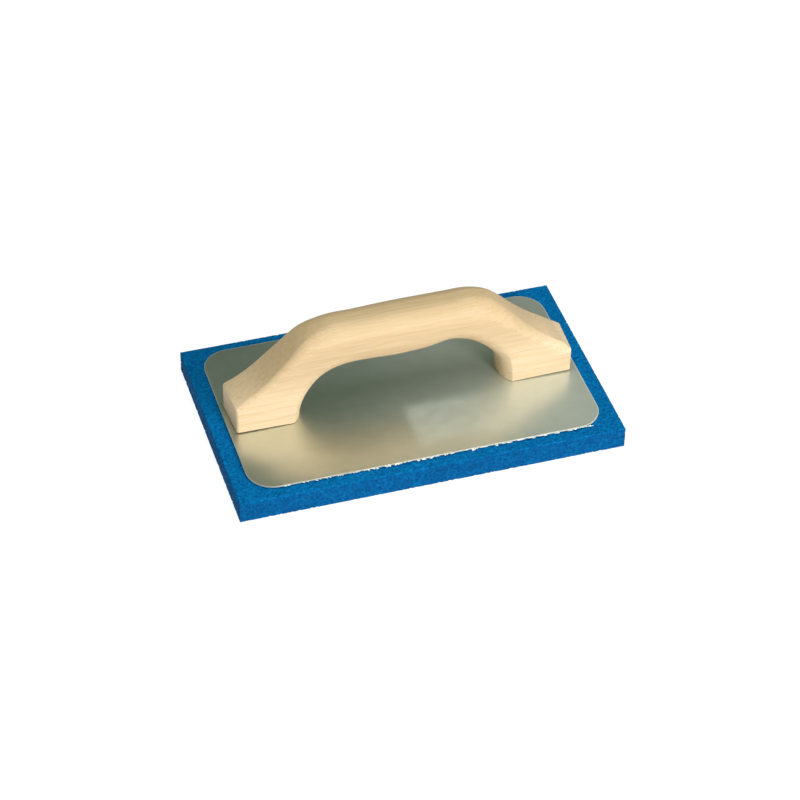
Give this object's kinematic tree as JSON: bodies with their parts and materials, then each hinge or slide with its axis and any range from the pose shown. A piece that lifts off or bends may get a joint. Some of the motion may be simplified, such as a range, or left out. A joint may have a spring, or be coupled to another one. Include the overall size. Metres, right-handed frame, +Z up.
{
  "type": "hand float",
  "caption": "Masonry hand float: a thick coarse-cell rubber pad bonded under a round-cornered metal plate, with a long wooden bridge handle.",
  "frame": {"origin": "centre of the pad's working face, on the surface the float rests on", "axes": "+X along the float's length, +Y across it, +Z up from the working face to the handle"},
  "size_m": [0.254, 0.1524, 0.0855],
  "materials": {
    "pad_rubber": "open coarse-cell sponge rubber, cut faces",
    "cement": "dried contact cement",
    "plate_steel": "dull satin galvanised sheet",
    "handle_wood": "bare sanded pale hardwood",
    "screw_steel": "zinc-plated"
  },
  "bodies": {
    "root": {"float_pad": "pad_rubber", "adhesive_film": "cement", "backing_plate": "plate_steel", "handle": "handle_wood", "handle_screw_1": "screw_steel", "handle_screw_2": "screw_steel", "handle_screw_3": "screw_steel", "handle_screw_4": "screw_steel"}
  },
  "joints": []
}
